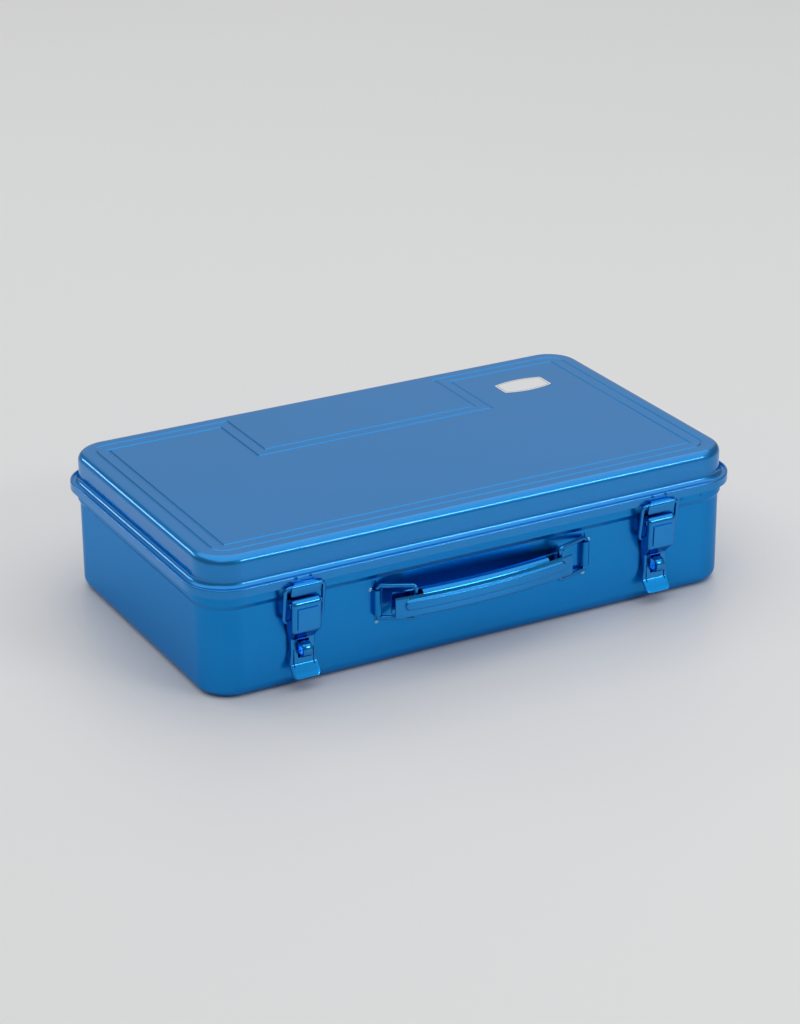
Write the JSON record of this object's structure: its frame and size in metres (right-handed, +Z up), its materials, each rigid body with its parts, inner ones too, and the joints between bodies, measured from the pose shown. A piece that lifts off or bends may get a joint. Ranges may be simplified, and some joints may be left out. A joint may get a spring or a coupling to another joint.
{
  "type": "tool box",
  "caption": "Flat drawn-steel tool box: a drop-over lid hinged at the back, draw latches with padlock staples on the front, and a folding wire handle with a pressed grip.",
  "frame": {"origin": "centre of the base, where the box stands", "axes": "+X along the length, +Z up, and the front with the latches and the handle faces -Y"},
  "size_m": [0.364, 0.2328, 0.0887],
  "materials": {
    "body_paint": "satin metallic blue enamel on drawn steel sheet",
    "lid_paint": "satin metallic blue enamel on drawn steel sheet",
    "handle_paint": "satin metallic blue enamel on pressed steel",
    "latch_paint": "satin metallic blue enamel on pressed steel",
    "wire_paint": "blue enamel on steel wire",
    "hinge_paint": "satin metallic blue enamel on pressed steel",
    "pin_paint": "blue enamel on steel pins",
    "label": "glossy blank foil sticker"
  },
  "bodies": {
    "case": {"body_shell": "body_paint", "hinge_left_body_leaf": "hinge_paint", "hinge_left_pin": "pin_paint", "latch_left_base": "latch_paint", "latch_left_staple": "latch_paint", "latch_left_pin": "pin_paint", "hinge_right_body_leaf": "hinge_paint", "hinge_right_pin": "pin_paint", "latch_right_base": "latch_paint", "latch_right_staple": "latch_paint", "latch_right_pin": "pin_paint"},
    "lid": {"lid_shell": "lid_paint", "lid_label": "label", "hinge_left_lid_leaf": "hinge_paint", "hinge_right_lid_leaf": "hinge_paint"},
    "grip": {"handle_grip": "handle_paint"},
    "link_left": {"handle_link_left": "wire_paint"},
    "link_right": {"handle_link_right": "wire_paint"},
    "lever_left": {"latch_left_lever": "latch_paint"},
    "bail_left": {"latch_left_bail": "wire_paint", "latch_left_hook": "latch_paint"},
    "lever_right": {"latch_right_lever": "latch_paint"},
    "bail_right": {"latch_right_bail": "wire_paint", "latch_right_hook": "latch_paint"}
  },
  "joints": [
    {"name": "lid_hinge", "type": "hinge", "parent": "case", "child": "lid", "pos_m": [0, 0.1097, 0.068], "axis": [-1, 0, 0], "range_deg": [0, 100]},
    {"name": "latch_left_lever_pivot", "type": "hinge", "parent": "case", "child": "lever_left", "pos_m": [-0.1196, -0.1075, 0.0546], "axis": [-1, 0, 0], "range_deg": [0, 100]},
    {"name": "latch_left_bail_pivot", "type": "hinge", "parent": "lever_left", "child": "bail_left", "pos_m": [-0.1196, -0.1049, 0.0437], "axis": [-1, 0, 0], "range_deg": [-121, 0]},
    {"name": "latch_right_lever_pivot", "type": "hinge", "parent": "case", "child": "lever_right", "pos_m": [0.1196, -0.1075, 0.0546], "axis": [-1, 0, 0], "range_deg": [0, 100]},
    {"name": "latch_right_bail_pivot", "type": "hinge", "parent": "lever_right", "child": "bail_right", "pos_m": [0.1196, -0.1049, 0.0437], "axis": [-1, 0, 0], "range_deg": [-121, 0]},
    {"name": "grip_slide", "type": "slide", "parent": "case", "child": "grip", "axis": [0, -1, 0], "range_m": [-0.003, 0.009]},
    {"name": "link_left_hinge", "type": "hinge", "parent": "case", "child": "link_left", "pos_m": [-0.0702, -0.1023, 0.0419], "axis": [0, 0, -1], "range_deg": [-10.5, 31.1]},
    {"name": "link_right_hinge", "type": "hinge", "parent": "case", "child": "link_right", "pos_m": [0.0702, -0.1023, 0.0419], "axis": [0, 0, 1], "range_deg": [-8.8, 26]}
  ],
  "couplings": [
    {"joint": "latch_left_bail_pivot", "follows": "latch_left_lever_pivot", "ratio": -1.2},
    {"joint": "latch_right_bail_pivot", "follows": "latch_right_lever_pivot", "ratio": -1.2},
    {"joint": "link_left_hinge", "follows": "grip_slide", "rad_per_m": 60},
    {"joint": "link_right_hinge", "follows": "grip_slide", "rad_per_m": 50}
  ]
}
